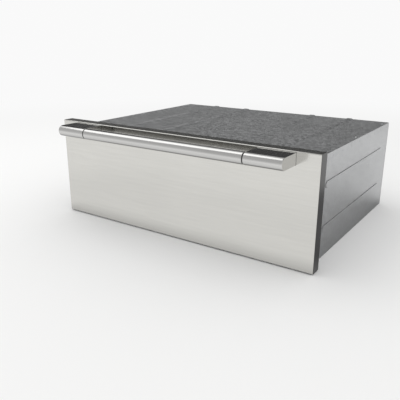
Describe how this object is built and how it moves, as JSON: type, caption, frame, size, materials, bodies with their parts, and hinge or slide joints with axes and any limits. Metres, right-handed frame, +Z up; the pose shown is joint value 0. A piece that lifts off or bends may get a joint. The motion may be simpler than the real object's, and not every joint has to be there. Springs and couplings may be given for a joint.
{
  "type": "built-in warming drawer",
  "caption": "Built-in warming drawer: heated casing, deep-drawn tub on full-extension ball slides, brushed steel front with a round bar handle.",
  "frame": {"origin": "centre of the overall box in plan, on the underside of the base", "axes": "+Z up, the drawer front faces -Y, +X to the right of a person who stands before it"},
  "size_m": [0.758, 0.675, 0.268],
  "materials": {
    "front_steel": "fine horizontal brushed stainless steel",
    "handle_steel": "satin polished stainless steel",
    "collar_black": "matte black moulded ring",
    "casing_zinc": "galvanised sheet with a fine zinc spangle",
    "cavity_steel": "dull rolled stainless sheet",
    "tub_steel": "deep-drawn satin stainless steel",
    "mineral_wool": "pressed mineral wool",
    "element_sheath": "dark heat-tinted tube with white ceramic ends",
    "motor_steel": "stamped electrical steel",
    "control_black": "fine-grained black moulding",
    "knob_black": "black moulded knob with fine sheen",
    "pilot_amber": "clear amber lens",
    "thermostat_steel": "plated steel can",
    "probe_copper": "drawn copper tube",
    "terminal_ivory": "ivory moulded terminal block",
    "wire_sleeve": "black woven sleeve",
    "screw_zinc": "bright zinc plated",
    "slide_zinc": "roll-formed bright zinc plated steel",
    "cage_zinc": "yellow passivated steel",
    "ball_steel": "polished bearing steel",
    "seal_silicone": "dark grey silicone",
    "bumper_rubber": "black rubber",
    "mat_rubber": "dark grey ribbed silicone"
  },
  "bodies": {
    "casing": {"base_pan": "casing_zinc", "side_panel_left": "casing_zinc", "side_panel_right": "casing_zinc", "top_cover": "casing_zinc", "back_panel": "casing_zinc", "control_fascia": "cavity_steel", "liner_floor": "cavity_steel", "liner_side_left": "cavity_steel", "liner_side_right": "cavity_steel", "liner_top": "cavity_steel", "liner_back": "cavity_steel", "insulation_blanket": "mineral_wool", "heating_element": "element_sheath", "element_clips": "cavity_steel", "fan_motor": "motor_steel", "fan_baffle": "cavity_steel", "thermal_cutout": "control_black", "thermostat_body": "thermostat_steel", "sensor_probe": "probe_copper", "switch_body": "control_black", "pilot_lens": "pilot_amber", "terminal_block": "terminal_ivory", "terminal_cover": "casing_zinc", "cable_gland": "control_black", "wiring_loom": "wire_sleeve", "casing_screws": "screw_zinc", "slide_outer_left": "slide_zinc", "slide_outer_right": "slide_zinc"},
    "drawer": {"front_skin": "front_steel", "front_inner_panel": "cavity_steel", "front_insulation": "mineral_wool", "handle_bar": "handle_steel", "handle_block_left": "handle_steel", "handle_block_right": "handle_steel", "handle_collars": "collar_black", "handle_screws": "screw_zinc", "drawer_gasket": "seal_silicone", "front_bumpers": "bumper_rubber", "drawer_tub": "tub_steel", "tub_mat": "mat_rubber", "drawer_rail_left": "cavity_steel", "drawer_rail_right": "cavity_steel", "slide_inner_left": "slide_zinc", "slide_inner_right": "slide_zinc", "drawer_screws": "screw_zinc"},
    "middle_member_left": {"slide_middle_left": "slide_zinc"},
    "middle_member_right": {"slide_middle_right": "slide_zinc"},
    "outer_cage_left": {"cage_outer_left": "cage_zinc", "balls_outer_left": "ball_steel"},
    "outer_cage_right": {"cage_outer_right": "cage_zinc", "balls_outer_right": "ball_steel"},
    "inner_cage_left": {"cage_inner_left": "cage_zinc", "balls_inner_left": "ball_steel"},
    "inner_cage_right": {"cage_inner_right": "cage_zinc", "balls_inner_right": "ball_steel"},
    "knob": {"thermostat_knob": "knob_black"},
    "rocker": {"power_rocker": "control_black"},
    "fan": {"fan_wheel": "cavity_steel"},
    "shutter": {"vent_shutter": "cavity_steel"}
  },
  "joints": [
    {"name": "drawer_slide", "type": "slide", "parent": "casing", "child": "drawer", "axis": [0, -1, 0], "range_m": [0, 0.48]},
    {"name": "middle_member_left_slide", "type": "slide", "parent": "casing", "child": "middle_member_left", "axis": [0, -1, 0], "range_m": [0, 0.24]},
    {"name": "middle_member_right_slide", "type": "slide", "parent": "casing", "child": "middle_member_right", "axis": [0, -1, 0], "range_m": [0, 0.24]},
    {"name": "outer_cage_left_slide", "type": "slide", "parent": "casing", "child": "outer_cage_left", "axis": [0, -1, 0], "range_m": [0, 0.12]},
    {"name": "outer_cage_right_slide", "type": "slide", "parent": "casing", "child": "outer_cage_right", "axis": [0, -1, 0], "range_m": [0, 0.12]},
    {"name": "inner_cage_left_slide", "type": "slide", "parent": "casing", "child": "inner_cage_left", "axis": [0, -1, 0], "range_m": [0, 0.36]},
    {"name": "inner_cage_right_slide", "type": "slide", "parent": "casing", "child": "inner_cage_right", "axis": [0, -1, 0], "range_m": [0, 0.36]},
    {"name": "knob_turn", "type": "hinge", "parent": "casing", "child": "knob", "pos_m": [0.25, -0.2121, 0.2213], "axis": [0, 1, 0], "range_deg": [0, 270]},
    {"name": "rocker_tilt", "type": "hinge", "parent": "casing", "child": "rocker", "pos_m": [0.16, -0.2101, 0.2213], "axis": [1, 0, 0], "range_deg": [-16, 0]},
    {"name": "fan_spin", "type": "hinge", "parent": "casing", "child": "fan", "pos_m": [0, 0.2785, 0.11], "axis": [0, 1, 0], "continuous": true},
    {"name": "shutter_slide", "type": "slide", "parent": "casing", "child": "shutter", "axis": [1, 0, 0], "range_m": [0, 0.012]}
  ],
  "couplings": [
    {"joint": "middle_member_left_slide", "follows": "drawer_slide", "ratio": 0.5},
    {"joint": "middle_member_right_slide", "follows": "drawer_slide", "ratio": 0.5},
    {"joint": "outer_cage_left_slide", "follows": "drawer_slide", "ratio": 0.25},
    {"joint": "outer_cage_right_slide", "follows": "drawer_slide", "ratio": 0.25},
    {"joint": "inner_cage_left_slide", "follows": "drawer_slide", "ratio": 0.75},
    {"joint": "inner_cage_right_slide", "follows": "drawer_slide", "ratio": 0.75}
  ]
}
